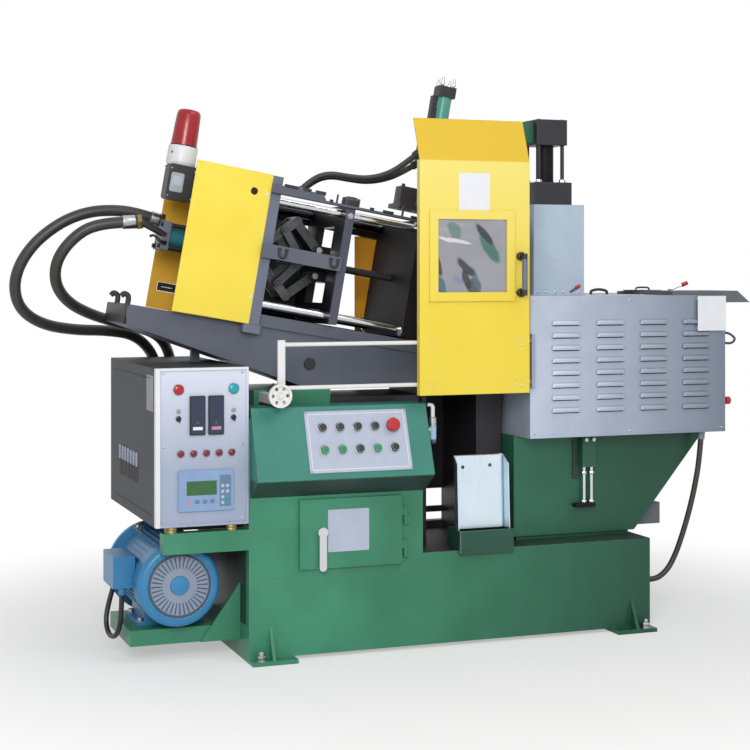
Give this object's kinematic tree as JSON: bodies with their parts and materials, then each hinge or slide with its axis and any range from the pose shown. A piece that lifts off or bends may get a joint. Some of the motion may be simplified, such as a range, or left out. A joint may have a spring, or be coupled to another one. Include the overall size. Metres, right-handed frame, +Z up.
{
  "type": "hot chamber die casting machine",
  "caption": "Small hot-chamber die casting machine with a tilted toggle clamp, sliding guard, control cabinet, console and covered furnace.",
  "frame": {"origin": "On the floor, under the middle of the machine's bounding box without its hoses.", "axes": "+X along the machine from the pump and cabinet to the furnace, +Y from the operator's side to the back, +Z up."},
  "size_m": [2.2879, 0.801, 1.7398],
  "materials": {
    "green_paint": "semi-gloss",
    "dark_steel": "satin",
    "grey_blue_paint": "satin",
    "yellow_paint": "semi-gloss",
    "silver_sheet": "satin",
    "pale_sheet": "satin",
    "white_paint": "semi-gloss",
    "cabinet_paint": "textured",
    "cabinet_face": "satin",
    "panel_plate": "satin",
    "chrome_bar": "polished",
    "machined_steel": "machined",
    "stainless_sheet": "brushed",
    "handle_black": "matte",
    "teal_paint": "semi-gloss",
    "sea_green_paint": "semi-gloss",
    "charcoal_paint": "satin",
    "motor_blue": "semi-gloss",
    "pump_iron": "as cast",
    "beacon_red": "gloss",
    "stop_red": "gloss",
    "window_clear": "clear",
    "bowl_blue": "gloss",
    "hose_rubber": "ribbed",
    "cable_sheath": "matte"
  },
  "bodies": {
    "machine": {"bed_base": "green_paint", "bed_cabinet": "green_paint", "console_box": "green_paint", "cabinet_shelf": "green_paint", "motor_base": "green_paint", "furnace_housing": "green_paint", "catch_tray": "green_paint", "clamp_base": "dark_steel", "platen_stand": "dark_steel", "fixed_platen": "dark_steel", "side_bars": "dark_steel", "hose_bracket": "dark_steel", "far_side_bar": "dark_steel", "toggle_guard": "dark_steel", "rear_platen": "grey_blue_paint", "clamp_cover": "yellow_paint", "rear_guard": "yellow_paint", "furnace_cover": "silver_sheet", "charging_plate": "silver_sheet", "shot_cover": "pale_sheet", "guard_rails": "white_paint", "cabinet_body": "cabinet_paint", "cabinet_front": "cabinet_face", "console_panel": "panel_plate", "tie_bars": "chrome_bar", "chute": "stainless_sheet", "pot_lid": "stainless_sheet", "gauge_box": "handle_black", "closing_cylinder": "teal_paint", "core_cylinder": "sea_green_paint", "shot_cylinder": "charcoal_paint", "motor": "motor_blue", "terminal_box": "motor_blue", "hydraulic_pump": "pump_iron", "beacon": "beacon_red", "lubricator": "bowl_blue", "hose_outer": "hose_rubber", "hose_inner": "hose_rubber", "top_hose_front": "hose_rubber", "top_hose_rear": "hose_rubber", "furnace_hose": "hose_rubber", "motor_cable": "cable_sheath"},
    "sliding_guard": {"guard_door": "yellow_paint", "door_window": "window_clear", "door_handle": "handle_black"},
    "clamp_carriage": {"toggle_plate": "dark_steel", "moving_platen": "dark_steel"},
    "crosshead": {"crosshead": "chrome_bar"},
    "upper_rear_link": {"upper_rear_link": "machined_steel"},
    "lower_rear_link": {"lower_rear_link": "machined_steel"},
    "upper_front_link": {"upper_front_link": "machined_steel"},
    "lower_front_link": {"lower_front_link": "machined_steel"},
    "upper_drive_link": {"upper_drive_link": "machined_steel"},
    "lower_drive_link": {"lower_drive_link": "machined_steel"},
    "bed_door": {"bed_door": "green_paint"},
    "door_lever": {"bed_door_lever": "chrome_bar"},
    "rail_wheel": {"rail_wheel": "white_paint"},
    "stop_button": {"emergency_stop": "stop_red"}
  },
  "joints": [
    {"name": "guard_slide", "type": "slide", "parent": "machine", "child": "sliding_guard", "axis": [-1, 0, 0], "range_m": [0, 0.38]},
    {"name": "clamp_slide", "type": "slide", "parent": "machine", "child": "clamp_carriage", "axis": [-0.9848, 0, 0.1736], "range_m": [0, 0.07]},
    {"name": "crosshead_slide", "type": "slide", "parent": "machine", "child": "crosshead", "axis": [-0.9848, 0, 0.1736], "range_m": [0, 0.04081]},
    {"name": "upper_rear_pivot", "type": "hinge", "parent": "machine", "child": "upper_rear_link", "pos_m": [-0.51816, 0.0015, 1.21445], "axis": [0, -1, 0], "range_deg": [0, 22.77]},
    {"name": "lower_rear_pivot", "type": "hinge", "parent": "machine", "child": "lower_rear_link", "pos_m": [-0.53205, 0.0015, 1.13566], "axis": [0, 1, 0], "range_deg": [0, 22.77]},
    {"name": "upper_front_pivot", "type": "hinge", "parent": "clamp_carriage", "child": "upper_front_link", "pos_m": [-0.35665, 0.0015, 1.18597], "axis": [0, 1, 0], "range_deg": [0, 22.77]},
    {"name": "lower_front_pivot", "type": "hinge", "parent": "clamp_carriage", "child": "lower_front_link", "pos_m": [-0.37055, 0.0015, 1.10718], "axis": [0, -1, 0], "range_deg": [0, 22.77]},
    {"name": "upper_drive_pivot", "type": "hinge", "parent": "crosshead", "child": "upper_drive_link", "pos_m": [-0.41678, 0.0015, 1.15595], "axis": [0, 1, 0], "range_deg": [0, 14.51]},
    {"name": "lower_drive_pivot", "type": "hinge", "parent": "crosshead", "child": "lower_drive_link", "pos_m": [-0.41678, 0.0015, 1.15595], "axis": [0, -1, 0], "range_deg": [0, 14.51]},
    {"name": "bed_door_hinge", "type": "hinge", "parent": "machine", "child": "bed_door", "pos_m": [-0.1735, -0.3048, 0.372], "axis": [0, 0, 1], "range_deg": [0, 110]},
    {"name": "door_lever_pivot", "type": "hinge", "parent": "bed_door", "child": "door_lever", "pos_m": [-0.4375, -0.3108, 0.367], "axis": [0, 1, 0], "range_deg": [0, 90]},
    {"name": "rail_wheel_turn", "type": "hinge", "parent": "machine", "child": "rail_wheel", "pos_m": [-0.5765, -0.3585, 0.768], "axis": [0, 1, 0], "continuous": true},
    {"name": "stop_press", "type": "slide", "parent": "machine", "child": "stop_button", "axis": [0, 0.938, -0.3466], "range_m": [0, 0.005]}
  ],
  "couplings": [
    {"joint": "crosshead_slide", "follows": "clamp_slide", "ratio": 0.583},
    {"joint": "upper_rear_pivot", "follows": "clamp_slide", "rad_per_m": 5.6753},
    {"joint": "lower_rear_pivot", "follows": "clamp_slide", "rad_per_m": 5.6753},
    {"joint": "upper_front_pivot", "follows": "clamp_slide", "rad_per_m": 5.6753},
    {"joint": "lower_front_pivot", "follows": "clamp_slide", "rad_per_m": 5.6753},
    {"joint": "upper_drive_pivot", "follows": "clamp_slide", "rad_per_m": 3.615},
    {"joint": "lower_drive_pivot", "follows": "clamp_slide", "rad_per_m": 3.615}
  ]
}
